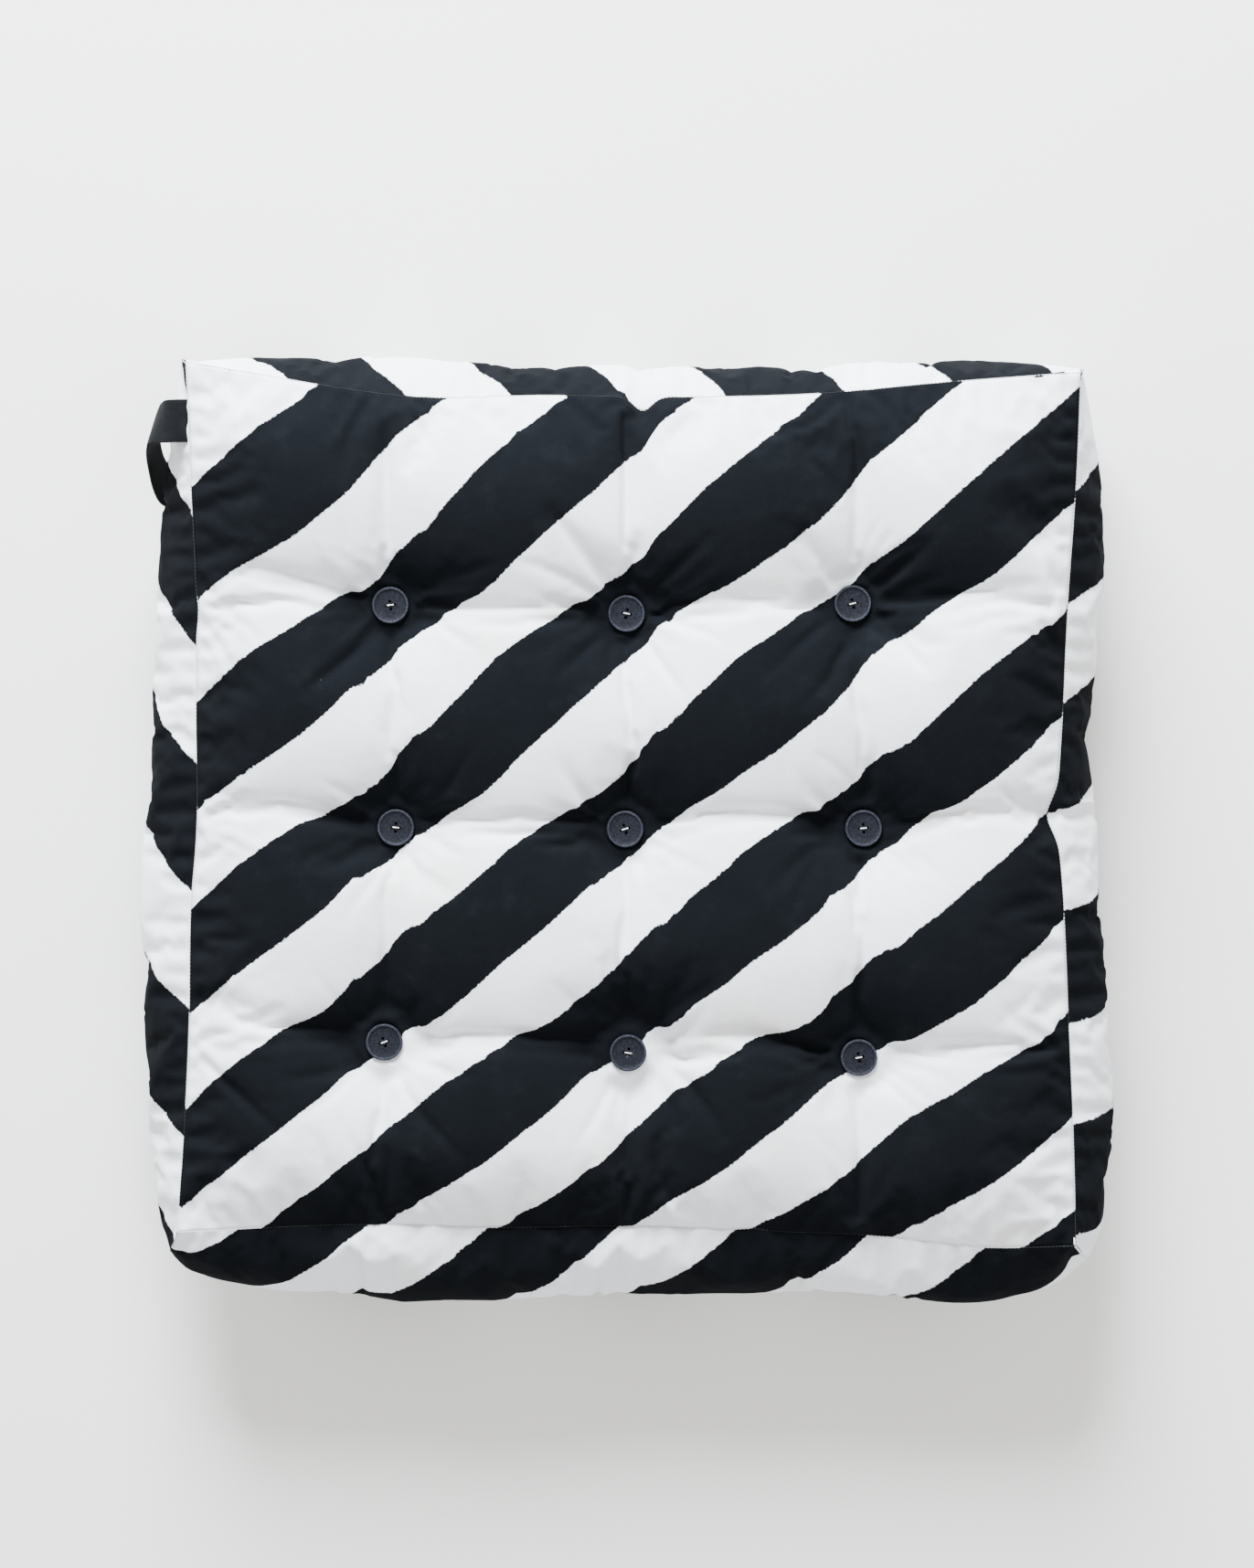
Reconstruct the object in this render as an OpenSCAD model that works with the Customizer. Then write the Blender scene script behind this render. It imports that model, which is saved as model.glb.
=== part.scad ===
// Square box-edged floor cushion: panels and bands sewn round one filling, tufted through with
// buttons, and a carry strap sewn into the top and bottom seams of its left side.
// Millimetres. +Z up, origin on the floor under the middle of the cushion, strap side is -X.

/* [Cushion] */
// seam to seam width of the top panel along X
panel_x = 580; // [440:1:760]
// seam to seam depth of the top panel along Y
panel_y = 570; // [430:1:760]
// thickness of the whole cushion at its crown
height = 135; // [110:1:170]
// how far each seam lies below the crown
crown = 18; // [12:1:24]
// width of the rounded edge between the flat crown and the seam
crown_run = 40; // [30:1:60]
// how far a band bulges past its seams in the middle of a side
bulge = 31; // [16:1:34]
// how far the round of a band would bulge if its middle weren't pressed flat
round_bulge = 35; // [20:1:40]
// how far a band bulges past its seams at the corners
corner_bulge = 10; // [6:1:16]
// thickness of the cotton cover cloth
fabric_t = 1.2; // [0.8:0.1:2]

/* [Tufting] */
// spacing of the buttons along X
tuft_pitch_x = 153; // [120:1:200]
// spacing of the buttons along Y
tuft_pitch_y = 144; // [120:1:200]
// sideways offset of the button grid
tuft_shift_x = -3; // [-10:1:10]
// front to back offset of the button grid
tuft_shift_y = -14; // [-20:1:10]
// how deep each button is pulled below the crown
tuft_depth = 24; // [12:1:30]
// radius at which the cloth leaves the crown and falls to the button
tuft_radius = 50; // [36:1:56]
// width of the bare ring of cloth round a button
seat_margin = 1.5; // [0.5:0.5:4]

/* [Buttons] */
// diameter of a button
button_d = 24; // [18:1:30]
// thickness of a button at its rim
button_t = 4; // [3:0.5:6]
// width of the raised rim
rim_w = 1.6; // [1:0.2:3]
// depth of the dish inside the rim
dish_depth = 1; // [0.4:0.2:1.6]
// diameter of each thread hole
eye_d = 2; // [1.6:0.1:2.6]
// diameter of the circle the four thread holes stand on
eye_circle_d = 6; // [5:0.5:9]
// diameter of the tufting twine
twine_d = 1.4; // [1:0.1:1.5]
// play of the twine in the cloth and the filling, on the diameter
twine_play = 0.4; // [0.2:0.1:0.8]

/* [Seams] */
// width of the line of stitching between two sewn pieces
stitch_w = 0.8; // [0.6:0.1:1.2]

/* [Strap] */
// width of the carry strap
strap_w = 28; // [22:1:36]
// thickness of the strap, folded double
strap_t = 2.4; // [1.8:0.1:3]
// how far the strap's grip stands out from the line it swings on
strap_reach = 28; // [24:1:34]
// bend radius where the strap turns down the side
strap_bend = 12; // [6:1:14]
// how far the line the strap swings on stands out from the seams
strap_out = 14; // [12:1:18]
// distance of the strap from the back seam
strap_inset = 33; // [30:1:60]
// how far the sewn ends reach into the seam
tail_in = 10; // [6:1:16]
// how far the sewn ends reach past the line the strap swings on
tail_past = 4; // [2:1:8]
// free gap between the sewn ends and the swinging part
strap_gap = 0.3; // [0.3:0.1:0.6]
// angle the strap hangs at, from straight out towards the front
strap_angle = 20; // [0:1:25]

/* [Hidden] */
$fn = 96;
side_fn = 900;
half_x = panel_x / 2;
half_y = panel_y / 2;
mid_z = height / 2;
seam_z = height - crown;
crown_r = (crown_run * crown_run + crown * crown) / (2 * crown);
band_half = seam_z - mid_z;
bulge_r = (band_half * band_half + round_bulge * round_bulge) / (2 * round_bulge);
side_sag = bulge - corner_bulge;
reach_all = half_x + half_y;
mitre_gap = stitch_w / sqrt(2);
seat_r = button_d / 2 + seat_margin;
well_run = tuft_radius - seat_r;
well_r = (well_run * well_run + tuft_depth * tuft_depth) / (2 * tuft_depth);
seat_z = height - tuft_depth;
eye_r = eye_circle_d / 2;
dish_z = seat_z + button_t - dish_depth;
bridge_z = dish_z + twine_d / 2;
strap_x = -(half_x + strap_out);
strap_y = half_y - strap_inset;
tail_z = seam_z - strap_t / 2;
loop_h = 2 * (seam_z - mid_z) + 3 * strap_t + 2 * strap_gap;
mitre = 2 * bulge + fabric_t;
GRID = [for (row = [1, 0, -1], col = [-1, 0, 1]) [col, row]];
SPOTS = [for (g = GRID) [tuft_shift_x + g[0] * tuft_pitch_x, tuft_shift_y + g[1] * tuft_pitch_y]];

SEWN = ["top_panel", "bottom_panel", "front_band", "right_band", "back_band", "left_band"];
STITCHES = ["top_seam_stitching", "bottom_seam_stitching", "front_left_corner_stitching",
            "front_right_corner_stitching", "back_right_corner_stitching",
            "back_left_corner_stitching"];

cloth = [0.82, 0.82, 0.80];
cloth_dark = [0.12, 0.13, 0.14];
fibre = [0.90, 0.88, 0.82];
navy = [0.16, 0.19, 0.25];
white_twine = [0.92, 0.92, 0.90];

// a section through the stuffed cushion, in from its surface by inset
module section(half, inset) {
  flat = half - crown_run;
  translate([-flat, inset]) square([2 * flat, height - 2 * inset]);
  translate([-flat - crown_r + inset, crown_r]) square([2 * (flat + crown_r - inset), height - 2 * crown_r]);
  for (s = [-1, 1]) {
    translate([s * flat, crown_r]) circle(r = crown_r - inset);
    translate([s * flat, height - crown_r]) circle(r = crown_r - inset);
    translate([s * (half + round_bulge - bulge_r), mid_z]) circle(r = bulge_r - inset);
  }
}

function side_r(half) = (pow(half + corner_bulge, 2) + side_sag * side_sag) / (2 * side_sag);

// the outline seen from above: each side bows out to its middle
module outline(inset) {
  rx = side_r(half_y);
  ry = side_r(half_x);
  intersection() {
    translate([half_x + bulge - rx, 0]) circle(r = rx - inset, $fn = side_fn);
    translate([rx - half_x - bulge, 0]) circle(r = rx - inset, $fn = side_fn);
    translate([0, half_y + bulge - ry]) circle(r = ry - inset, $fn = side_fn);
    translate([0, ry - half_y - bulge]) circle(r = ry - inset, $fn = side_fn);
  }
}

// one tuft: the hollow the button pulls into the crown
module well(inset) {
  rotate_extrude() difference() {
    translate([0, seat_z - inset]) square([tuft_radius, tuft_depth + inset]);
    translate([tuft_radius, height - well_r]) circle(r = well_r - inset);
  }
}

module both_faces() {
  children();
  translate([0, 0, height]) mirror([0, 0, 1]) children();
}

// the stuffed shape before it is tufted, in from its surface by inset
module untufted(inset) {
  intersection() {
    rotate([90, 0, 0]) linear_extrude(height = 2 * reach_all, center = true) section(half_x, inset);
    rotate([90, 0, 90]) linear_extrude(height = 2 * reach_all, center = true) section(half_y, inset);
    linear_extrude(height = height) outline(inset);
  }
}

module stuffed(inset) {
  difference() {
    untufted(inset);
    for (p = SPOTS) translate([p[0], p[1], 0]) both_faces() well(inset);
  }
}

// one side of the stuffed shape, long enough to be mitred
module side_solid(half_along, half_across, inset) {
  r = side_r(half_along);
  intersection() {
    rotate([90, 0, 90]) linear_extrude(height = 2 * reach_all, center = true) section(half_across, inset);
    translate([0, r - half_across - bulge, 0]) cylinder(r = r - inset, h = height, $fn = side_fn);
  }
}

module inside_seams(grow) {
  linear_extrude(height = height) square([panel_x + grow, panel_y + grow], center = true);
}

// the stretch of the sides that belongs to one band, mitred at the corners
module side_wedge(half_along, half_across) {
  inner = half_across + stitch_w / 2;
  along = half_along + stitch_w / 2 - mitre_gap;
  linear_extrude(height = height)
    polygon([[-along, -inner], [along, -inner], [along + mitre, -inner - mitre], [-along - mitre, -inner - mitre]]);
}

module corner_line(sx, sy) {
  translate([sx * half_x, sy * half_y, mid_z]) rotate([0, 0, 45 * sx * sy])
    cube([2 * mitre, stitch_w, height], center = true);
}

module cover() {
  difference() {
    stuffed(0);
    stuffed(fabric_t);
    strap_ends();
  }
}

module twine_holes() {
  for (p = SPOTS, s = [-1, 1]) translate([p[0] + s * eye_r, p[1], 0])
    cylinder(d = twine_d + twine_play, h = height);
}

module panel_piece() {
  difference() {
    intersection() {
      cover();
      inside_seams(-stitch_w);
      translate([0, 0, 1.5 * mid_z]) cube([2 * reach_all, 2 * reach_all, mid_z], center = true);
    }
    twine_holes();
  }
}

module seam_piece() {
  difference() {
    intersection() {
      cover();
      inside_seams(stitch_w);
      translate([0, 0, 1.5 * mid_z]) cube([2 * reach_all, 2 * reach_all, mid_z], center = true);
    }
    inside_seams(-stitch_w);
  }
}

module flipped() {
  translate([0, 0, height]) mirror([0, 0, 1]) children();
}

module band_piece(turn, half_along, half_across) {
  difference() {
    rotate([0, 0, turn]) intersection() {
      difference() {
        side_solid(half_along, half_across, 0);
        side_solid(half_along, half_across, fabric_t);
      }
      side_wedge(half_along, half_across);
    }
    strap_ends();
  }
}

module corner_piece(sx, sy) {
  difference() {
    intersection() {
      difference() {
        untufted(0);
        untufted(fabric_t);
      }
      corner_line(sx, sy);
    }
    inside_seams(stitch_w);
  }
}

module filling() {
  color(fibre) difference() {
    stuffed(fabric_t);
    twine_holes();
    strap_ends();
  }
}

module button_at(p) {
  color(navy) translate([p[0], p[1], 0]) difference() {
    translate([0, 0, seat_z]) cylinder(d = button_d, h = button_t);
    translate([0, 0, dish_z]) cylinder(d = button_d - 2 * rim_w, h = button_t);
    for (a = [0:90:270]) rotate([0, 0, a]) translate([eye_r, 0, seat_z - button_t])
      cylinder(d = eye_d, h = 3 * button_t);
  }
}

// one length of twine: down through two eyes of the top button and back up through the lower one
module twine_at(p) {
  color(white_twine) translate([p[0], p[1], 0]) {
    for (s = [-1, 1]) translate([s * eye_r, 0, height - bridge_z])
      cylinder(d = twine_d, h = 2 * bridge_z - height);
    for (z = [bridge_z, height - bridge_z]) {
      translate([-eye_r, 0, z]) rotate([0, 90, 0]) cylinder(d = twine_d, h = eye_circle_d);
      for (s = [-1, 1]) translate([s * eye_r, 0, z]) sphere(d = twine_d);
    }
  }
}

// a sewn end of the strap, caught in the seam
module strap_end() {
  translate([strap_x - tail_past, strap_y - strap_w / 2, tail_z])
    cube([tail_past + strap_out + tail_in, strap_w, strap_t]);
}

module strap_ends() {
  strap_end();
  flipped() strap_end();
}

module round_rect(w, h, r) {
  translate([r, 0]) square([w - 2 * r, h]);
  translate([0, r]) square([w, h - 2 * r]);
  for (x = [r, w - r], y = [r, h - r]) translate([x, y]) circle(r = r);
}

// the swinging part of the strap: out from the top end, down the side and back to the lower end
module handle_strap() {
  color(cloth_dark) translate([strap_x, strap_y, mid_z]) rotate([0, 0, 180 + strap_angle])
    rotate([90, 0, 0]) linear_extrude(height = strap_w, center = true) intersection() {
      difference() {
        translate([-strap_reach, -loop_h / 2]) round_rect(2 * strap_reach, loop_h, strap_bend);
        translate([-strap_reach + strap_t, strap_t - loop_h / 2])
          round_rect(2 * (strap_reach - strap_t), loop_h - 2 * strap_t, strap_bend - strap_t);
      }
      translate([0, -loop_h]) square([2 * strap_reach, 2 * loop_h]);
    }
}

color(cloth) panel_piece();  // top_panel
color(cloth) flipped() panel_piece();  // bottom_panel
color(cloth) band_piece(0, half_x, half_y);  // front_band
color(cloth) band_piece(90, half_y, half_x);  // right_band
color(cloth) band_piece(180, half_x, half_y);  // back_band
color(cloth) band_piece(270, half_y, half_x);  // left_band
color(cloth_dark) seam_piece();  // top_seam_stitching
color(cloth_dark) flipped() seam_piece();  // bottom_seam_stitching
color(cloth_dark) corner_piece(-1, -1);  // front_left_corner_stitching
color(cloth_dark) corner_piece(1, -1);  // front_right_corner_stitching
color(cloth_dark) corner_piece(1, 1);  // back_right_corner_stitching
color(cloth_dark) corner_piece(-1, 1);  // back_left_corner_stitching
filling();
for (i = [1:9]) {
  button_at(SPOTS[i - 1]);
  flipped() button_at(SPOTS[i - 1]);
  twine_at(SPOTS[i - 1]);
}
color(cloth_dark) strap_end();  // strap_top_end
color(cloth_dark) flipped() strap_end();  // strap_bottom_end
handle_strap();
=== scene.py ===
"""A striped, box-edged, button-tufted floor cushion with a carry strap.

Metres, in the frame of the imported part: +Z up, +Y to the back, the strap on the -X side.
"""

import math

import bmesh
import bpy
import numpy as np
from mathutils import Matrix, Vector


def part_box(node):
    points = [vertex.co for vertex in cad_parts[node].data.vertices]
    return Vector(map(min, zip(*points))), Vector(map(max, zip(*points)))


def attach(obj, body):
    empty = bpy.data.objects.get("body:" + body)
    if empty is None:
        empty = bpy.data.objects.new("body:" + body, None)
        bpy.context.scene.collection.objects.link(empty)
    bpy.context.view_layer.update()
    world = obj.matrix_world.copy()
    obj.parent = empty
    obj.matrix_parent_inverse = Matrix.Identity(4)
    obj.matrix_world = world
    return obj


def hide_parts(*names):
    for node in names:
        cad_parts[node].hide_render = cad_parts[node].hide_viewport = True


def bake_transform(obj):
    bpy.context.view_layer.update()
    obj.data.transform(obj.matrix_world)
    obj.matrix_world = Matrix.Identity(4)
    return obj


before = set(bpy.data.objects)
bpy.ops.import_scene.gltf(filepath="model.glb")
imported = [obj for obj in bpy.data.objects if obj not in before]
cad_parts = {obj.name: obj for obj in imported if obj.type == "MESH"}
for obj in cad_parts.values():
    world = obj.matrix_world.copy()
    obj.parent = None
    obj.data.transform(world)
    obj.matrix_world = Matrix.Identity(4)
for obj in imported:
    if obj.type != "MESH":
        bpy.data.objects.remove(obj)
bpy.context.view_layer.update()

# ---------------------------------------------------------------- sizes from the frame

MM = 0.001
_, seam_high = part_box("top_seam_stitching")
HALF_X, HALF_Y, SEAM_Z = seam_high
bottom_low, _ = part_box("bottom_panel")
_, top_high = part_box("top_panel")
FLOOR_Z, CROWN_Z = bottom_low.z, top_high.z
MID_Z = (FLOOR_Z + CROWN_Z) / 2
CLOTH = 1.2 * MM
TUFTS = range(1, 10)


def tuft_place(i):
    lo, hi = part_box(f"top_button_{i}")
    return np.array([(lo.x + hi.x) / 2, (lo.y + hi.y) / 2])


# Hand-tied buttons stray a little from their grid: (x, y) in mm for each, row by row from the back.
STRAY = np.array([[0.5, 1.5], [1.5, -4], [-4, 2.5], [4, 0.5], [0.5, -0.5], [3, 0],
                  [-3.5, 4.5], [2.5, -2.5], [0, -5.5]]) * MM
TUFT_XY = np.array([tuft_place(i) for i in TUFTS]) + STRAY
SEAT_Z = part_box("top_button_1")[0].z
BUTTON_R = (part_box("top_button_1")[1].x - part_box("top_button_1")[0].x) / 2
BUTTON_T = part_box("top_button_1")[1].z - SEAT_Z

# ---------------------------------------------------------------- small maths helpers


def smooth(x):
    x = np.clip(x, 0, 1)
    return x * x * (3 - 2 * x)


def curve(points, at):
    """A smooth curve through a few (place, value) points, read at an array of places."""
    p, v = np.array(points, float).T
    slope = np.gradient(v, p)
    k = np.clip(np.searchsorted(p, at) - 1, 0, len(p) - 2)
    h = p[k + 1] - p[k]
    u = np.clip((at - p[k]) / h, 0, 1)
    a, b = 2 * u**3 - 3 * u**2 + 1, u**3 - 2 * u**2 + u
    c, d = 3 * u**2 - 2 * u**3, u**3 - u**2
    return a * v[k] + b * h * slope[k] + c * v[k + 1] + d * h * slope[k + 1]


def bell(x, middle, width):
    return np.exp(-(((x - middle) / width) ** 2))


def ripple(x, y, seed, wave):
    """Smooth, repeatable unevenness between about -1 and 1."""
    rng = np.random.default_rng(seed)
    out = np.zeros(np.broadcast(x, y).shape)
    for _ in range(14):
        angle, phase = rng.uniform(0, 2 * math.pi, 2)
        k = 2 * math.pi / (wave * rng.uniform(0.7, 1.7))
        out += np.sin(k * (x * math.cos(angle) + y * math.sin(angle)) + phase)
    return out / 4


# ---------------------------------------------------------------- the stuffed shape
# s runs from 0 at the left side to 1 at the right, t from 0 at the back to 1 at the front.

# How far each seam is drawn in from its straight line (mm), along its side.
DRAWN_IN = {
    "left": [(0, 1.5), (.07, 3.5), (.14, 5), (.27, 8), (.41, 8), (.54, 8), (.62, 4.5), (.75, 3),
             (.87, 0), (1, -5)],
    "right": [(0, -4), (.13, -1), (.26, 4), (.38, 7), (.5, 10), (.62, 6), (.74, 3), (.86, 0), (1, -2)],
    "back": [(0, -5), (.09, 4), (.17, 12), (.26, 18), (.4, 17), (.52, 18), (.7, 16), (.86, 8), (1, 2)],
    "front": [(0, 7), (.2, 12), (.36, 10), (.5, 11), (.63, 8), (.77, 5), (.9, -3), (1, -2)],
}
# Short pleats taken up in a seam: (place along the side, width, depth in mm).
PLEATS = {
    "left": (.285, .02, 1.5),
    "right": (.506, .026, 7),
    "back": (.511, .014, 9),
    "front": (.64, .02, 1.5),
}
# How far each band bulges past its seam (mm), along its side.
BULGE = {
    "left": [(0, 6), (.03, 9), (.07, 14), (.17, 21), (.27, 26), (.4, 30), (.55, 34), (.68, 32),
             (.82, 27), (.93, 19), (.985, 11), (1, 6)],
    "right": [(0, 4), (.1, 15), (.22, 24), (.32, 22), (.42, 20), (.5, 26), (.62, 26.5), (.75, 28.5),
              (.93, 22.5), (.98, 18), (1, 10)],
    "back": [(0, 4), (.08, 12), (.17, 20), (.26, 24), (.4, 20), (.52, 20), (.7, 18), (.86, 14), (1, 4)],
    "front": [(0, 15), (.012, 25.5), (.03, 32), (.08, 40), (.2, 48), (.38, 48), (.52, 44), (.65, 42),
              (.8, 39), (.93, 33), (.98, 24), (1, 12)],
}
SEAM_DROP_FRONT = 12 * MM
SEAM_DROP_BACK = 4 * MM


def seam_height(t):
    return SEAM_Z - SEAM_DROP_BACK - (SEAM_DROP_FRONT - SEAM_DROP_BACK) * smooth(t)


def pleat(side, along):
    place, width, depth = PLEATS[side]
    return depth * MM * bell(along, place, width)


def plan(s, t):
    """Where the panel's point (s, t) lies, seen from above. A pleat fades out away from its seam."""
    left = -HALF_X + curve(DRAWN_IN["left"], t) * MM
    right = HALF_X - curve(DRAWN_IN["right"], t) * MM
    back = HALF_Y - curve(DRAWN_IN["back"], s) * MM
    front = -HALF_Y + curve(DRAWN_IN["front"], s) * MM
    x = left + (right - left) * s + pleat("left", t) * (1 - s) ** 6 - pleat("right", t) * s**6
    y = back + (front - back) * t - pleat("back", s) * (1 - t) ** 6 + pleat("front", s) * t**6
    return x, y


def tuft_st():
    """The (s, t) of each button, found by following plan() back."""
    s = (TUFT_XY[:, 0] + HALF_X) / (2 * HALF_X)
    t = (HALF_Y - TUFT_XY[:, 1]) / (2 * HALF_Y)
    for _ in range(20):
        x, y = plan(s, t)
        s = s - (x - TUFT_XY[:, 0]) / (2 * HALF_X)
        t = t + (y - TUFT_XY[:, 1]) / (2 * HALF_Y)
    return s, t


TUFT_S, TUFT_T = tuft_st()
CROWN_RISE = 29 * MM


# How far each row's crease bows to the back (mm): at the left seam, between the buttons, at the right seam.
ROW_BOW = [[14, 2, 8, 5], [14, 9, 12, 15], [15, 11, 16, 17]]


def row_line(row, s):
    """The crease that runs through a row of buttons, as t along s."""
    button_s, button_t = TUFT_S[3 * row:3 * row + 3], TUFT_T[3 * row:3 * row + 3]
    span = np.searchsorted(button_s, s)
    ends = np.concatenate([[-button_s[0]], button_s, [2 - button_s[2]]])
    share = (s - ends[span]) / (ends[span + 1] - ends[span])
    bow = np.array(ROW_BOW[row])[span] * MM * 4 * share * (1 - share)
    return np.interp(s, button_s, button_t) - bow / (2 * HALF_Y)


def column_line(column, t):
    k = slice(column, 9, 3)
    return np.interp(t, TUFT_T[k], TUFT_S[k])


def hollow(distance, width):
    """A valley with a soft bottom and long sides."""
    return np.exp(-(np.sqrt(distance**2 + (0.12 * width) ** 2) - 0.12 * width) / width)


def folds(x, y, centre, ways, reach, count, rng):
    """Small folds that fan out of a place where the cloth is drawn in.

    ways lists (angle, spread, how often) and reach is the shortest and longest fold.
    """
    r = np.hypot(x - centre[0], y - centre[1])
    angle = np.arctan2(y - centre[1], x - centre[0])
    often = np.array([w[2] for w in ways], float)
    out = np.zeros_like(r)
    for _ in range(count):
        way, spread, _ = ways[rng.choice(len(ways), p=often / often.sum())]
        way = way + rng.normal(0, spread)
        end = rng.uniform(*reach)
        width = rng.uniform(2.6, 4.6) * MM
        depth = rng.uniform(0.6, 2.1) * MM
        off = np.angle(np.exp(1j * (angle - way - rng.normal(0, 0.35) * r / end)))
        across, along = r * np.sin(off), r * np.cos(off)
        length = smooth((along - 0.010) / 0.014) * (1 - smooth((along - 0.45 * end) / (0.55 * end)))
        out += depth * length * np.exp(-((across / width) ** 2))
    return out


def seam_gathers(x, y, rng):
    """Folds that run in from the seams, where a row or a column of buttons pulls on them."""
    out = np.zeros_like(x)
    for k in range(3):
        row_y = TUFT_XY[3 * k:3 * k + 3, 1]
        column_x = TUFT_XY[k::3, 0]
        for place, way in (((-HALF_X, row_y[0]), 0), ((HALF_X, row_y[2]), math.pi),
                           ((column_x[0], HALF_Y), -math.pi / 2), ((column_x[2], -HALF_Y), math.pi / 2)):
            out += folds(x, y, place, [(way, 0.45, 1)], (0.04, 0.10), 6, rng)
    return out


def face_height(s, t, which):
    """How high the stuffed face stands above its seams, before the cloth is simulated."""
    x, y = plan(s, t)
    edge_s, edge_t = 4 * s * (1 - s), 4 * t * (1 - t)
    rise = CROWN_RISE * (1 - (1 - edge_s) ** 3.2) * (1 - (1 - edge_t) ** 3.2)
    rise = rise * (1 + 0.06 * ripple(x, y, 5 + which, 0.22))
    inside = smooth(edge_s * 4) * smooth(edge_t * 4)
    rise += inside * 0.25 * MM * ripple(x, y, 11 + which, 0.045)
    span_x, span_y = 2 * HALF_X, 2 * HALF_Y
    for row in range(3):
        off = (t - row_line(row, s)) * span_y
        wander = 2 * MM * ripple(x, 0 * y, 20 + row + 3 * which, 0.12)
        rise -= 10.5 * MM * hollow(off, 0.026) * smooth(edge_s * 2.2)
        rise -= 2.4 * MM * hollow(off - wander, 0.0045) * smooth(edge_s * 2)
        rise -= 1.2 * MM * bell(off - 2.2 * wander, 0.009, 0.004) * smooth(edge_s * 3)
    for column in range(3):
        off = (s - column_line(column, t)) * span_x
        wander = 2 * MM * ripple(y, 0 * x, 40 + column + 3 * which, 0.12)
        rise -= 6.5 * MM * hollow(off, 0.024) * smooth(edge_t * 2.5)
        rise -= 1.6 * MM * hollow(off - wander, 0.004) * smooth(edge_t * 5)
    rng = np.random.default_rng(90 + which)
    for centre in TUFT_XY:
        rise -= 24 * MM * hollow(np.hypot(x - centre[0], y - centre[1]), 0.038)
        ways = [(0, 0.34, 3), (math.pi, 0.34, 3), (math.pi / 2, 0.3, 1.6), (-math.pi / 2, 0.5, 1.4)]
        rise -= folds(x, y, centre, ways, (0.035, 0.095), 26, rng)
    rise -= seam_gathers(x, y, rng)
    near_side = np.minimum(s, 1 - s) * span_x
    near_end = np.minimum(t, 1 - t) * span_y
    rise += 0.6 * MM * ripple(y, 0 * x, 61 + which, 0.017) * bell(near_side, 0.007, 0.007)
    rise += 0.6 * MM * ripple(x, 0 * y, 63 + which, 0.017) * bell(near_end, 0.007, 0.007)
    return rise


def top_z(s, t, which):
    """The height of the stuffed face, with every button pulled down to its seat."""
    z = seam_height(t) + face_height(s, t, which)
    x, y = plan(s, t)
    for px, py in TUFT_XY:
        r = np.hypot(x - px, y - py)
        seat = smooth(1 - (r - BUTTON_R * 0.9) / (BUTTON_R * 1.6))
        z = z * (1 - seat) + SEAT_Z * seat
    return z


# ---------------------------------------------------------------- the cover as one grid
CELLS_S, CELLS_T, CELLS_BAND = 120, 118, 24


def perimeter(n_s, n_t):
    """The panel's rim, once round from the back-left corner: (i, j, side, place along the side)."""
    rim = [(i, 0, "back", i / n_s) for i in range(n_s)]
    rim += [(n_s, j, "right", j / n_t) for j in range(n_t)]
    rim += [(i, n_t, "front", i / n_s) for i in range(n_s, 0, -1)]
    rim += [(0, j, "left", j / n_t) for j in range(n_t, 0, -1)]
    return rim


OUT = {"back": (0, 1), "right": (1, 0), "front": (0, -1), "left": (-1, 0)}
# the side met at each end of a side
NEXT = {
    "back": ("left", "right"),
    "front": ("left", "right"),
    "left": ("back", "front"),
    "right": ("back", "front"),
}


def band_points(side, along, rim_top, rim_bottom, rows):
    """A band's vertices: rows from the top seam down to the bottom seam."""
    w = np.linspace(0, 1, rows + 1)[:, None]
    bulge = curve(BULGE[side], along) * MM + 0.9 * pleat(side, along)
    bulge = bulge * (1 + 0.03 * ripple(along * 0.58, 0 * along, 71, 0.09))
    chord = rim_top[:, 2] - rim_bottom[:, 2]
    radius = ((chord / 2) ** 2 + bulge**2) / (2 * bulge)
    half_angle = 2 * np.arctan2(2 * bulge, chord)
    angle = half_angle * (1 - 2 * w)
    out = radius * (np.cos(angle) - np.cos(half_angle))
    rise = radius * np.sin(angle)
    middle = (rim_top + rim_bottom) / 2
    lean = (rim_top - rim_bottom) / 2
    direction = np.array([*OUT[side], 0.0])
    p = middle[None] + (lean[None] * (1 - 2 * w)[..., None])
    p[..., 2] = middle[None, :, 2] + rise
    p += out[..., None] * direction
    share = out / np.maximum(bulge, 1e-6)
    crumple = 0.5 * MM * ripple(along * 0.58, w * 0.12, 73 + len(side), 0.045)
    p += (share * crumple)[..., None] * direction
    here = {"back": 0, "front": 1, "left": 0, "right": 1}[side]
    for end in (0, 1):
        other = NEXT[side][end]
        corner = curve(BULGE[other], np.array([float(here)]))[0] * MM
        reach = np.abs(along - end)
        fade = np.maximum(1 - reach / 0.07, 0) ** 2
        p += (share * fade * corner)[..., None] * np.array([*OUT[other], 0.0])
    return p


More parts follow.
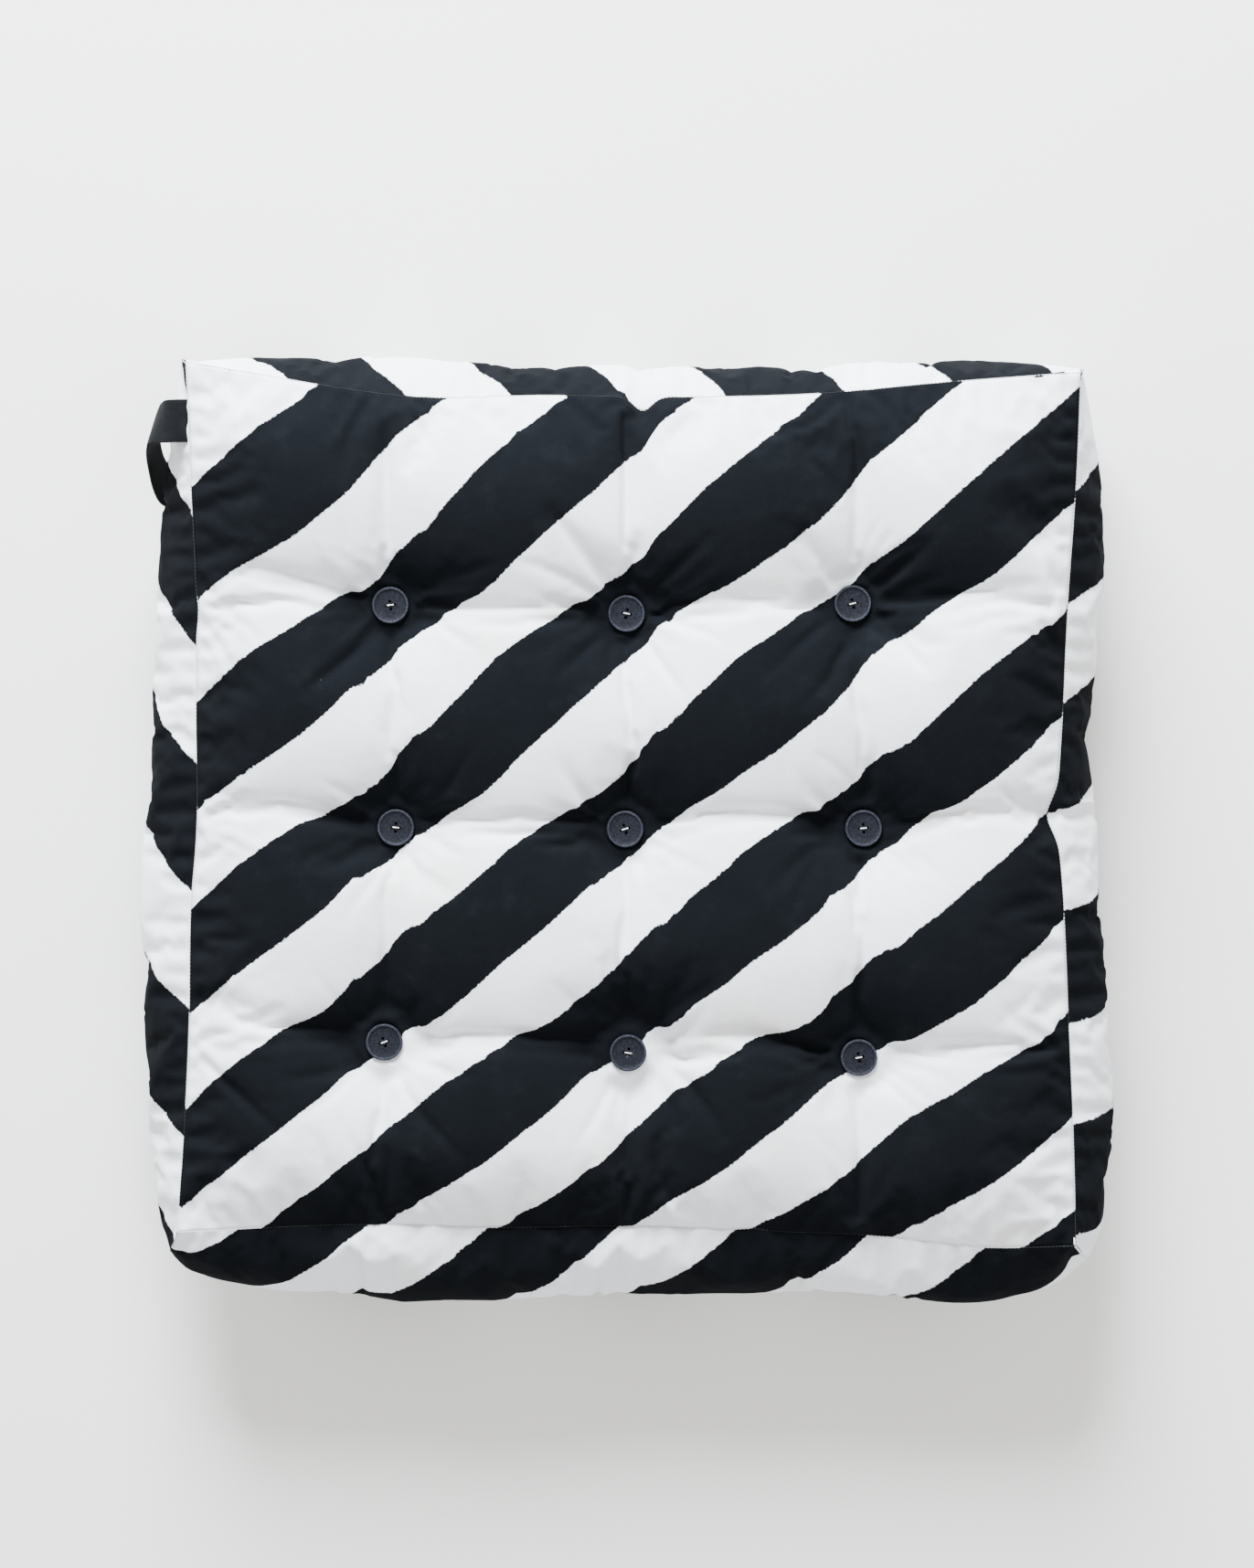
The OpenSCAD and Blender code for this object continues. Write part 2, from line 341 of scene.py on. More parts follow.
class Cover:
    """The whole cover as one closed grid of vertices, in cells 1 / fine as long as the coarsest."""

    def __init__(self, fine):
        self.cells = CELLS_S * fine, CELLS_T * fine
        rows = CELLS_BAND * fine
        i, j = np.meshgrid(np.arange(self.cells[0] + 1), np.arange(self.cells[1] + 1), indexing="ij")
        s, t = i / self.cells[0], j / self.cells[1]
        x, y = plan(s, t)
        top = np.stack([x, y, top_z(s, t, 0)], -1)
        bottom = np.stack([x, y, FLOOR_Z + CROWN_Z - top_z(s, t, 1)], -1)
        self.rim = perimeter(*self.cells)
        n_face = top.shape[0] * top.shape[1]
        self.index_top = np.arange(n_face).reshape(top.shape[:2])
        self.index_bottom = self.index_top + n_face
        n_rim = len(self.rim)
        self.index_band = np.zeros((rows + 1, n_rim), int)
        self.index_band[0] = [self.index_top[a, b] for a, b, _, _ in self.rim]
        self.index_band[-1] = [self.index_bottom[a, b] for a, b, _, _ in self.rim]
        inner = np.arange((rows - 1) * n_rim).reshape(rows - 1, n_rim)
        self.index_band[1:-1] = inner + 2 * n_face
        band = np.zeros((rows + 1, n_rim, 3))
        sides = np.array([r[2] for r in self.rim])
        along = np.array([r[3] for r in self.rim])
        rim_top = np.array([top[a, b] for a, b, _, _ in self.rim])
        rim_bottom = np.array([bottom[a, b] for a, b, _, _ in self.rim])
        for side in OUT:
            k = sides == side
            band[:, k] = band_points(side, along[k], rim_top[k], rim_bottom[k], rows)
        self.points = np.concatenate([top.reshape(-1, 3), bottom.reshape(-1, 3),
                                      band[1:-1].reshape(-1, 3)])
        self.sides = sides

    def quads(self, grid, flip=False):
        a, b, c, d = grid[:-1, :-1], grid[1:, :-1], grid[1:, 1:], grid[:-1, 1:]
        return np.stack([a, d, c, b] if flip else [a, b, c, d], -1).reshape(-1, 4)

    def band_grid(self, side):
        """The columns of one band, its last one shared with the next band."""
        k = np.flatnonzero(self.sides == side)
        n = len(self.rim)
        last = (k[-1] + 1) % n
        return self.index_band[:, np.append(k, last)]


def mesh_object(name, points, faces):
    mesh = bpy.data.meshes.new(name)
    mesh.from_pydata([tuple(p) for p in points], [], [tuple(int(v) for v in f) for f in faces])
    mesh.update()
    obj = bpy.data.objects.new(name, mesh)
    bpy.context.scene.collection.objects.link(obj)
    return obj


def read_points(obj):
    co = np.zeros(len(obj.data.vertices) * 3)
    obj.data.vertices.foreach_get("co", co)
    return co.reshape(-1, 3)


def write_points(obj, points):
    obj.data.vertices.foreach_set("co", np.asarray(points, float).ravel())
    obj.data.update()


SIDES = ("front", "right", "back", "left")


def whole_faces(cover):
    faces = [cover.quads(cover.index_top, flip=True), cover.quads(cover.index_bottom)]
    for side in SIDES:
        faces.append(cover.quads(cover.band_grid(side), flip=True))
    return np.concatenate(faces)


def simulate(cover):
    """Inflates the cover as cloth, held at its seams and buttons, and tells how far each vertex moved."""
    obj = mesh_object("cover_sim", cover.points, whole_faces(cover))
    start = cover.points.copy()
    held = obj.vertex_groups.new(name="held")
    rim = set(cover.index_band[0]) | set(cover.index_band[-1])
    xy = start[:, :2]
    for k in range(len(start)):
        on_face = k <= cover.index_bottom.max()
        if k in rim or (on_face and np.hypot(*(TUFT_XY - xy[k]).T).min() < BUTTON_R):
            held.add([k], 1.0, "REPLACE")
    cloth = obj.modifiers.new("Cloth", "CLOTH")
    c = cloth.settings
    c.quality = 6
    c.mass = 0.25
    c.tension_stiffness = 22
    c.compression_stiffness = 22
    c.shear_stiffness = 6
    c.bending_stiffness = 0.35
    c.air_damping = 6
    c.use_pressure = True
    c.uniform_pressure_force = 4
    c.vertex_group_mass = "held"
    c.effector_weights.gravity = 0
    c.shrink_min = -0.035
    c.shrink_max = -0.035
    cloth.collision_settings.use_collision = False
    cloth.collision_settings.use_self_collision = False
    scene = bpy.context.scene
    for f in range(1, 21):
        scene.frame_set(f)
    shown = obj.evaluated_get(bpy.context.evaluated_depsgraph_get())
    end = np.zeros(len(shown.data.vertices) * 3)
    shown.data.vertices.foreach_get("co", end)
    end = end.reshape(-1, 3)
    scene.frame_set(1)
    bpy.data.objects.remove(obj)
    # no vertex may move further than the limit
    move = end - start
    far = np.linalg.norm(move, axis=1)
    limit = 12 * MM
    scale = np.where(far > 1e-9, limit * np.tanh(far / limit) / np.maximum(far, 1e-9), 1)
    return move * scale[:, None]


def doubled(a, axis, ring=False):
    """Twice as many points along one axis, the new ones on a smooth line through the old."""
    a = np.moveaxis(a, axis, 0)
    if ring:
        q = np.concatenate([a[-1:], a, a[:2]])
    else:
        q = np.concatenate([2 * a[:1] - a[1:2], a, 2 * a[-1:] - a[-2:-1]])
    middle = (9 * (q[1:-2] + q[2:-1]) - q[:-3] - q[3:]) / 16
    out = np.zeros((len(a) + len(middle), *a.shape[1:]))
    out[0::2], out[1::2] = a, middle
    return np.moveaxis(out, 0, axis)


# The cloth is simulated on a coarse cover. Its wrinkles are carried over to a fine one, which is shown.
coarse, cover = Cover(1), Cover(2)
move = simulate(coarse)
coarse.points = coarse.points + move
fine_move = np.zeros_like(cover.points)
fine_move[cover.index_band] = doubled(doubled(move[coarse.index_band], 0), 1, ring=True)
for old, new in ((coarse.index_top, cover.index_top), (coarse.index_bottom, cover.index_bottom)):
    fine_move[new] = doubled(doubled(move[old], 0), 1)
cover.points = cover.points + fine_move
for one in (coarse, cover):
    # the cloth can't rise over a button's edge, and the underside is pressed flat on the floor
    to_button = np.min([np.hypot(*(one.points[:, :2] - b).T) for b in TUFT_XY], axis=0)
    lift = 1.2 * np.maximum(to_button - BUTTON_R, 0)
    for index, side in ((one.index_top, 1), (one.index_bottom, -1)):
        height = (one.points[index, 2] - MID_Z) * side
        one.points[index, 2] = MID_Z + side * np.minimum(height, SEAT_Z - MID_Z + lift[index])
    one.points[:, 2] = np.maximum(one.points[:, 2], FLOOR_Z)


# ---------------------------------------------------------------- cloth coordinates

def steps(p, axis):
    """The lengths between neighbours along the grid lines."""
    return np.linalg.norm(np.diff(p, axis=axis), axis=-1)


def shares(lengths, axis):
    """Each vertex's share of the cloth's length along its own grid line."""
    total = np.cumsum(lengths, axis=axis)
    first = np.zeros_like(np.take(total, [0], axis=axis))
    total = np.concatenate([first, total], axis=axis)
    return total / np.take(total, [-1], axis=axis)


# The cloth drawn into a crease, as a share of the cloth beside it: (how much, width), soft and sharp.
ROW_GATHER = ((0.14, 0.028), (0.36, 0.010))
COLUMN_GATHER = ((0.06, 0.024), (0.18, 0.008))
COLUMN_PULL = 0.22  # more in the sharp part of a column's crease, just behind each button


def gathered_share(p, axis, s, t):
    """Shares of the cloth's length, with the cloth that is drawn into the creases."""
    x, y = plan(s, t)
    if axis == 1:
        off = np.min([np.abs(t - row_line(k, s)) for k in range(3)], axis=0) * 2 * HALF_Y
        more = sum(much * bell(off, 0, wide) for much, wide in ROW_GATHER) * smooth(6.4 * s * (1 - s))
        more = (more[:, 1:] + more[:, :-1]) / 2
    else:
        off = np.min([np.abs(s - column_line(k, t)) for k in range(3)], axis=0) * 2 * HALF_X
        more = sum(much * bell(off, 0, wide) for much, wide in COLUMN_GATHER) * smooth(6.4 * t * (1 - t))
        for px, py in TUFT_XY:
            more += COLUMN_PULL * bell(x, px, COLUMN_GATHER[1][1]) * bell(y, py + 0.012, 0.032)
        more = (more[1:] + more[:-1]) / 2
    return shares(steps(p, axis) * (1 + more), axis)


# How far the print has slipped towards the front at each button, in hundredths of a stripe.
SLIP = np.array([[5, 0, 0], [6.5, 4.5, 2.5], [4, 3, 0.5]]) / 100


def slipped(s, t):
    """The print's slip, strongest at the buttons and gone at the seams."""
    total, weight = np.zeros(s.shape), np.full(s.shape, 0.25)
    for k, (bs, bt) in enumerate(zip(TUFT_S, TUFT_T)):
        near = np.exp(-((s - bs) ** 2 + (t - bt) ** 2) / 0.016)
        total += near * SLIP.ravel()[k]
        weight += near
    return total / weight * 1.25 * smooth(9 * s * (1 - s)) * smooth(9 * t * (1 - t))


def stripe_top(s, t):
    """The printed stripes on a panel: a whole number at the start of each black one."""
    left = 0.44 + 3.88 * t + 0.32 * t * t
    right = 3.94 + 3.94 * t + 0.31 * t * t
    back = 0.44 + 3.83 * s - 0.33 * s * s
    front = 4.64 + 3.95 * s - 0.40 * s * s
    corners = (1 - s) * (1 - t) * 0.44 + s * (1 - t) * 3.94 + (1 - s) * t * 4.64 + s * t * 8.19
    tip = 0.10 * bell(np.hypot(s, t), 0, 0.04)
    return (1 - s) * left + s * right + (1 - t) * back + t * front - corners + tip - slipped(s, t)


# each band's stripes: how many to the side's length, the first one's place, and their lean
BAND_STRIPES = {
    "front": (3.60, 0.763, 1.30),
    "right": (4.13, 0.447, 0.42),
    "back": (4.03, 0.545, 0.50),
    "left": (3.55, 0.368, 0.95),
}
BAND_WIDTH = 120 * MM


def add_uv(obj, name, values_of_vertex):
    """values_of_vertex is an array of (u, v) for each vertex."""
    layer = obj.data.uv_layers.new(name=name)
    loops = np.zeros(len(obj.data.loops), int)
    obj.data.loops.foreach_get("vertex_index", loops)
    layer.data.foreach_set("uv", values_of_vertex[loops].ravel())


def apply_modifiers(obj):
    graph = bpy.context.evaluated_depsgraph_get()
    mesh = bpy.data.meshes.new_from_object(obj.evaluated_get(graph), depsgraph=graph)
    old = obj.data
    obj.modifiers.clear()
    obj.data = mesh
    bpy.data.meshes.remove(old)
    mesh.name = obj.name


def shade_smooth(obj):
    obj.data.polygons.foreach_set("use_smooth", [True] * len(obj.data.polygons))


def cloth_piece(name, grid, stripes, metres, flip):
    """One sewn piece of the cover, cut out of the grid, with cloth thickness."""
    ids = np.unique(grid)
    lookup = {int(v): k for k, v in enumerate(ids)}
    faces = [[lookup[int(v)] for v in f] for f in cover.quads(grid, flip=flip)]
    obj = mesh_object(name, cover.points[ids], faces)
    order = np.array([lookup[int(v)] for v in grid.ravel()])
    printed, woven = np.zeros((len(ids), 2)), np.zeros((len(ids), 2))
    printed[order, 0] = stripes.ravel()
    woven[order] = metres.reshape(-1, 2)
    add_uv(obj, "stripes", printed)
    add_uv(obj, "weave", woven)
    thick = obj.modifiers.new("Solidify", "SOLIDIFY")
    thick.thickness = CLOTH
    thick.offset = -1
    thick.use_even_offset = True
    apply_modifiers(obj)
    shade_smooth(obj)
    return obj


# the stripe that lies under each vertex of the cover, for the stitches
STRIPES_AT = np.zeros(len(cover.points))


def panel(name, grid, flip, bottom=False):
    p = cover.points[grid]
    i, j = np.meshgrid(np.arange(p.shape[0]), np.arange(p.shape[1]), indexing="ij")
    plain_s, plain_t = i / cover.cells[0], j / cover.cells[1]
    s = gathered_share(p, 0, plain_s, plain_t)
    t = gathered_share(p, 1, plain_s, plain_t)
    stripes = stripe_top(s, t)
    if bottom:
        stripes = stripes + 0.37
    STRIPES_AT[grid] = stripes
    metres = np.stack([s * 0.60, t * 0.59], -1)
    return cloth_piece(name, grid, stripes, metres, flip)


def band(side):
    grid = cover.band_grid(side)
    p = cover.points[grid]
    down = shares(steps(p, 0), 0)
    along = shares(steps(p, 1), 1)
    if side in ("front", "left"):
        along = 1 - along
    count, first, lean = BAND_STRIPES[side]
    length = 2 * (HALF_X if side in ("front", "back") else HALF_Y)
    stripes = first + count * (along + lean * down * BAND_WIDTH / length)
    STRIPES_AT[grid[1:-1]] = stripes[1:-1]
    metres = np.stack([along * length, down * BAND_WIDTH], -1)
    return cloth_piece(f"{side}_band_cloth", grid, stripes, metres, True)


# ---------------------------------------------------------------- materials

class Nodes:
    """A short way to write a material's nodes."""

    def __init__(self, name):
        self.material = bpy.data.materials.new(name)
        self.material.use_nodes = True
        self.tree = self.material.node_tree
        self.shader = self.tree.nodes["Principled BSDF"]

    def add(self, kind, **settings):
        node = self.tree.nodes.new(kind)
        for key, value in settings.items():
            if hasattr(node, key):
                setattr(node, key, value)
            else:
                node.inputs[key.replace("_", " ")].default_value = value
        return node

    def link(self, a, b):
        self.tree.links.new(a, b)

    def math(self, operation, a, b=None, c=None):
        node = self.tree.nodes.new("ShaderNodeMath")
        node.operation = operation
        for socket, value in zip(node.inputs, (a, b, c)):
            if value is None:
                continue
            if isinstance(value, (int, float)):
                socket.default_value = value
            else:
                self.link(value, socket)
        return node.outputs[0]

    def mix(self, factor, a, b):
        node = self.tree.nodes.new("ShaderNodeMix")
        node.data_type = "RGBA"
        for socket, value in ((node.inputs[0], factor), (node.inputs[6], a), (node.inputs[7], b)):
            if isinstance(value, (int, float)):
                socket.default_value = value
            elif isinstance(value, tuple):
                socket.default_value = (*value, 1)
            else:
                self.link(value, socket)
        return node.outputs[2]

    def noise(self, vector, scale, detail, rough=0.5):
        node = self.add("ShaderNodeTexNoise", Scale=scale, Detail=detail, Roughness=rough)
        self.link(vector, node.inputs["Vector"])
        return node.outputs[0]

    def bump(self, height, distance, strength, normal=None):
        node = self.add("ShaderNodeBump", Strength=strength, Distance=distance)
        self.link(height, node.inputs["Height"])
        if normal is not None:
            self.link(normal, node.inputs["Normal"])
        return node.outputs[0]

    def ramp(self, value, start, end):
        """0 below start, 1 above end and a smooth step between."""
        node = self.add("ShaderNodeMapRange", interpolation_type="SMOOTHSTEP")
        self.link(value, node.inputs[0])
        node.inputs[1].default_value = start
        node.inputs[2].default_value = end
        return node.outputs[0]


WHITE_CLOTH = (0.85, 0.88, 0.935)
# a warm grey that stands in for the warm shade in the creases: painted shade
WHITE_CLOTH_PAINTED_SHADE = (0.81, 0.805, 0.80)
BLACK_PRINT = (0.0036, 0.0045, 0.0060)
BLACK_PRINT_WORN = (0.0064, 0.0077, 0.0096)


def weave_height(n, uv_socket, threads):
    """Plain weave: the sum of two crossed sets of threads."""
    split = n.add("ShaderNodeSeparateXYZ")
    n.link(uv_socket, split.inputs[0])
    wobble = n.noise(uv_socket, 60.0, 2.0)
    shift = n.math("MULTIPLY", wobble, 3.0)
    a = n.math("SINE", n.math("MULTIPLY_ADD", split.outputs[0], threads, shift))
    b = n.math("SINE", n.math("MULTIPLY_ADD", split.outputs[1], threads, shift))
    return n.math("MULTIPLY", a, b)


def striped_cotton():
    """Printed cotton: black where the stripes' coordinate is in the first part of each whole number."""
    n = Nodes("striped_cotton")
    stripe_uv = n.add("ShaderNodeUVMap", uv_map="stripes").outputs[0]
    weave_uv = n.add("ShaderNodeUVMap", uv_map="weave").outputs[0]
    split = n.add("ShaderNodeSeparateXYZ")
    n.link(stripe_uv, split.inputs[0])
    broad = n.math("MULTIPLY_ADD", n.noise(weave_uv, 16.0, 2.0), 0.044, -0.022)
    jagged = n.math("MULTIPLY_ADD", n.noise(weave_uv, 430.0, 3.0, 0.7), 0.030, -0.015)
    phase = n.math("ADD", split.outputs[0], n.math("ADD", broad, jagged))
    part = n.math("FRACT", phase)
    not_past = n.math("SUBTRACT", 1.0, n.ramp(part, 0.528, 0.536))
    black = n.math("MULTIPLY", n.ramp(part, 0.0, 0.008), not_past)
    weave = weave_height(n, weave_uv, 2 * math.pi / (1.1 * MM))
    # patches of painted warm shade, scattered over the white by noise rather than placed in the creases
    warm_shade_patches = n.noise(weave_uv, 9.0, 4.0, 0.6)
    fine = n.noise(weave_uv, 900.0, 3.0, 0.7)
    white = n.mix(n.ramp(warm_shade_patches, 0.45, 0.8), WHITE_CLOTH, WHITE_CLOTH_PAINTED_SHADE)
    dark = n.mix(n.ramp(n.noise(weave_uv, 35.0, 5.0, 0.7), 0.5, 0.85), BLACK_PRINT, BLACK_PRINT_WORN)
    spots = n.add("ShaderNodeTexVoronoi", Scale=30.0)
    n.link(weave_uv, spots.inputs["Vector"])
    lint = n.math("MULTIPLY", n.math("SUBTRACT", 1.0, n.ramp(spots.outputs[0], 0.014, 0.024)),
                  n.ramp(n.noise(weave_uv, 14.0, 1.0), 0.56, 0.60))
    colour = n.mix(n.math("MULTIPLY", lint, 0.55), n.mix(black, white, dark), (0.16, 0.15, 0.12))
    cloudy = n.noise(weave_uv, 150.0, 4.0, 0.7)
    shade = n.math("ADD", n.math("MULTIPLY_ADD", fine, 0.20, 0.82), n.math("MULTIPLY", cloudy, 0.16))
    grey = n.add("ShaderNodeCombineColor")
    for k in range(3):
        n.link(shade, grey.inputs[k])
    tint = n.add("ShaderNodeMix", data_type="RGBA", blend_type="MULTIPLY")
    tint.inputs[0].default_value = 1.0
    n.link(colour, tint.inputs[6])
    n.link(grey.outputs[0], tint.inputs[7])
    n.link(tint.outputs[2], n.shader.inputs["Base Color"])
    n.shader.inputs["Roughness"].default_value = 0.92
    n.shader.inputs["Sheen Weight"].default_value = 0.003
    n.shader.inputs["Sheen Roughness"].default_value = 0.6
    n.shader.inputs["Specular IOR Level"].default_value = 0.03
    crumple = n.bump(n.noise(weave_uv, 26.0, 4.0, 0.55), 0.004, 0.35)
    slub = n.bump(fine, 0.0006, 0.5, crumple)
    n.link(n.bump(weave, 0.0002, 0.6, slub), n.shader.inputs["Normal"])
    return n.material


def strap_cotton():
    n = Nodes("strap_cotton")
    place = n.add("ShaderNodeTexCoord").outputs["Object"]
    wear = n.ramp(n.noise(place, 90.0, 5.0, 0.7), 0.45, 0.8)
    n.link(n.mix(wear, (0.0026, 0.0033, 0.0044), (0.0058, 0.0069, 0.0086)), n.shader.inputs["Base Color"])
    n.shader.inputs["Roughness"].default_value = 0.9
    n.shader.inputs["Sheen Weight"].default_value = 0.02
    n.shader.inputs["Specular IOR Level"].default_value = 0.1
    fine = n.bump(n.noise(place, 1100.0, 3.0, 0.7), 0.0005, 0.6)
    weave = weave_height(n, place, 2 * math.pi / (0.9 * MM))
    n.link(n.bump(weave, 0.0002, 0.6, fine), n.shader.inputs["Normal"])
    return n.material


def button_plastic():
    """Mottled plastic, with a painted highlight in specks along the rim. "turned" starts with the radius as
    a share.
    """
    n = Nodes("button_plastic")
    place = n.add("ShaderNodeTexCoord").outputs["Object"]
    split = n.add("ShaderNodeSeparateXYZ")
    n.link(n.add("ShaderNodeUVMap", uv_map="turned").outputs[0], split.inputs[0])
    rim = n.math("MULTIPLY", n.ramp(split.outputs[0], 0.84, 0.91),
                 n.math("SUBTRACT", 1.0, n.ramp(split.outputs[0], 0.95, 1.0)))
    speck = n.ramp(n.noise(place, 900.0, 5.0, 0.8), 0.44, 0.62)
    mottle = n.mix(speck, (0.0024, 0.0029, 0.0055), (0.0105, 0.013, 0.021))
    # a paler ring near the rim, broken into specks by noise: a painted highlight
    rim_highlight = n.math("MULTIPLY", rim, n.ramp(n.noise(place, 1500.0, 3.0, 0.8), 0.40, 0.66))
    n.link(n.mix(n.math("MULTIPLY", rim_highlight, 0.7), mottle, (0.060, 0.066, 0.088)),
           n.shader.inputs["Base Color"])
    n.shader.inputs["Roughness"].default_value = 0.55
    n.shader.inputs["Specular IOR Level"].default_value = 0.12
    n.link(n.bump(n.noise(place, 800.0, 4.0, 0.7), 0.0005, 0.7), n.shader.inputs["Normal"])
    return n.material


def white_twine():
    n = Nodes("white_twine")
    place = n.add("ShaderNodeTexCoord").outputs["Object"]
    n.link(n.mix(n.noise(place, 900.0, 3.0), (0.80, 0.80, 0.78), (0.55, 0.55, 0.54)),
           n.shader.inputs["Base Color"])
    n.shader.inputs["Roughness"].default_value = 0.8
    n.link(n.bump(n.noise(place, 2400.0, 3.0), 0.0002, 0.6), n.shader.inputs["Normal"])
    return n.material


def seam_thread():
    """The stitches sink into the cloth, so they take on the colour of the stripe they lie in."""
    n = Nodes("seam_thread")
    split = n.add("ShaderNodeSeparateXYZ")
    n.link(n.add("ShaderNodeUVMap", uv_map="stripes").outputs[0], split.inputs[0])
    white = n.ramp(n.math("FRACT", split.outputs[0]), 0.50, 0.53)
    place = n.add("ShaderNodeTexCoord").outputs["Object"]
    worn = n.ramp(n.noise(place, 55.0, 3.0, 0.7), 0.60, 0.72)
    dark = n.mix(n.math("MULTIPLY", worn, 0.5), (0.0045, 0.0055, 0.0075), (0.10, 0.105, 0.12))
    n.link(n.mix(white, dark, (0.62, 0.63, 0.66)), n.shader.inputs["Base Color"])
    n.shader.inputs["Roughness"].default_value = 0.8
    n.link(n.bump(n.noise(place, 2400.0, 3.0), 0.0002, 0.6), n.shader.inputs["Normal"])
    return n.material


def fibre():
    n = Nodes("filling_fibre")
    place = n.add("ShaderNodeTexCoord").outputs["Object"]
    n.link(n.mix(n.noise(place, 60.0, 6.0, 0.7), (0.80, 0.78, 0.72), (0.62, 0.58, 0.50)),
           n.shader.inputs["Base Color"])
    n.shader.inputs["Roughness"].default_value = 1.0
    n.link(n.bump(n.noise(place, 300.0, 6.0, 0.8), 0.002, 0.9), n.shader.inputs["Normal"])
    return n.material


COTTON = striped_cotton()
STRAP_CLOTH = strap_cotton()
BUTTON = button_plastic()
TWINE = white_twine()
SEAM_THREAD = seam_thread()
FIBRE = fibre()


def finish_piece(obj, material, nodes, body="cushion"):
    obj.data.materials.clear()
    obj.data.materials.append(material)
    if body:
        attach(obj, body)
    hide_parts(*nodes)
    return obj


# ---------------------------------------------------------------- the sewn cover and its filling

top = panel("top_panel_cloth", cover.index_top, True)
bottom = panel("bottom_panel_cloth", cover.index_bottom, False, bottom=True)
for obj, node in ((top, "top_panel"), (bottom, "bottom_panel")):
    finish_piece(obj, COTTON, [node])
for side in SIDES:
    obj = band(side)
    finish_piece(obj, COTTON, [f"{side}_band"])

inner = mesh_object("fibre_filling", coarse.points, whole_faces(coarse))
normals = np.zeros(len(inner.data.vertices) * 3)
inner.data.vertex_normals.foreach_get("vector", normals)
write_points(inner, coarse.points - normals.reshape(-1, 3) * 3.6 * CLOTH)
shade_smooth(inner)
finish_piece(inner, FIBRE, ["filling"])


# ---------------------------------------------------------------- buttons and twine

RIM_W = 1.7 * MM
DISH = 1.0 * MM
EYE_R = 2.6 * MM
EYE_HOLE_R = 1.0 * MM
TWINE_R = 0.38 * MM


def lathe(name, profile, sides):
    """Turns a profile of (radius, height) points, from the axis and back to it, round Z."""
    points, faces = [], []
    rings = []
    for r, h in profile:
        if r < 1e-9:
            rings.append([len(points)] * sides)
            points.append((0, 0, h))
            continue
        rings.append(list(range(len(points), len(points) + sides)))
        for k in range(sides):
            a = 2 * math.pi * k / sides
            points.append((r * math.cos(a), r * math.sin(a), h))
    for a, b in zip(rings, rings[1:]):
        for k in range(sides):
            m = (k + 1) % sides
            face = [a[k], a[m], b[m], b[k]]
            face = [v for i, v in enumerate(face) if v not in face[:i]]
            if len(face) > 2:
                faces.append(face)
    return mesh_object(name, points, faces)


def button_shape():
    """A dished, four-hole button standing on z = 0."""
    r, t = BUTTON_R, BUTTON_T
    edge = 0.45 * MM
    profile = [(0, 0), (r - 2 * edge, 0), (r - 0.6 * edge, 0.3 * edge), (r, 1.2 * edge),
               (r, t - 1.6 * edge), (r - 0.3 * edge, t - 0.6 * edge), (r - edge, t - 0.1 * edge),
               (r - RIM_W * 0.55, t), (r - RIM_W, t - 0.35 * DISH),
               (r - RIM_W - 0.5 * edge, t - 0.8 * DISH), (r - RIM_W - 1.6 * edge, t - DISH),
               (r * 0.55, t - DISH * 1.05), (r * 0.3, t - DISH * 1.12), (0, t - DISH * 1.15)]
    disc = lathe("button_shape", profile, 72)
    p = read_points(disc)
    turned = np.stack([np.hypot(p[:, 0], p[:, 1]) / r, np.arctan2(p[:, 1], p[:, 0]) / math.pi], -1)
    add_uv(disc, "turned", turned)
    holes = []
    for k in range(4):
        a = math.pi / 2 * k
        hole = lathe("hole", [(0, -t), (EYE_HOLE_R, -t), (EYE_HOLE_R, 2 * t), (0, 2 * t)], 20)
        hole.location = (EYE_R * math.cos(a), EYE_R * math.sin(a), 0)
        holes.append(hole)
    bpy.context.view_layer.update()
    for hole in holes:
        cut = disc.modifiers.new("hole", "BOOLEAN")
        cut.operation = "DIFFERENCE"
        cut.object = hole
        cut.solver = "EXACT"
    apply_modifiers(disc)
    for hole in holes:
        bpy.data.objects.remove(hole)
    shade_smooth(disc)
    disc.data.set_sharp_from_angle(angle=math.radians(38))
    return disc


def twine_loop(name, path):
    """A two-ply thread along a closed path of points."""
    path = [Vector(p) for p in path]
    n, sides = len(path), 12
    points, faces = [], []
    up = Vector((0, 1, 0))
    for k, p in enumerate(path):
        along = (path[(k + 1) % n] - path[k - 1]).normalized()
        side = along.cross(up).normalized()
        other = along.cross(side).normalized()
        for m in range(sides):
            a = 2 * math.pi * m / sides
            r = TWINE_R * (1 + 0.16 * math.cos(2 * a + 0.9 * k))
            points.append(p + side * (r * math.cos(a)) + other * (r * math.sin(a)))
    for k in range(n):
        a, b = k * sides, ((k + 1) % n) * sides
        for m in range(sides):
            q = (m + 1) % sides
            faces.append([a + m, a + q, b + q, b + m])
    obj = mesh_object(name, points, faces)
    fix_normals(obj)
    shade_smooth(obj)
    return obj


def fix_normals(obj):
    b = bmesh.new()
    b.from_mesh(obj.data)
    bmesh.ops.recalc_face_normals(b, faces=b.faces)
    b.to_mesh(obj.data)
    b.free()


def twine_path():
    """Down one eye, under the lower button, up the other eye and over the top one."""
    dish = SEAT_Z + BUTTON_T - DISH + 0.35 * MM
    other = CROWN_Z + FLOOR_Z - dish
    reach = EYE_R - 0.65 * MM
    path = []
    for z, way in ((dish, 1), (other, -1)):
        for k in range(13):
            a = math.pi * k / 12
            over = (0.8 * math.sin(a) ** 0.7 - 0.6) * MM
            path.append((-reach * math.cos(a) * way, 0, z + way * over))
        for k in range(1, 40):
            path.append((reach * way, 0, z + (dish + other - 2 * z) * k / 40))
    return path


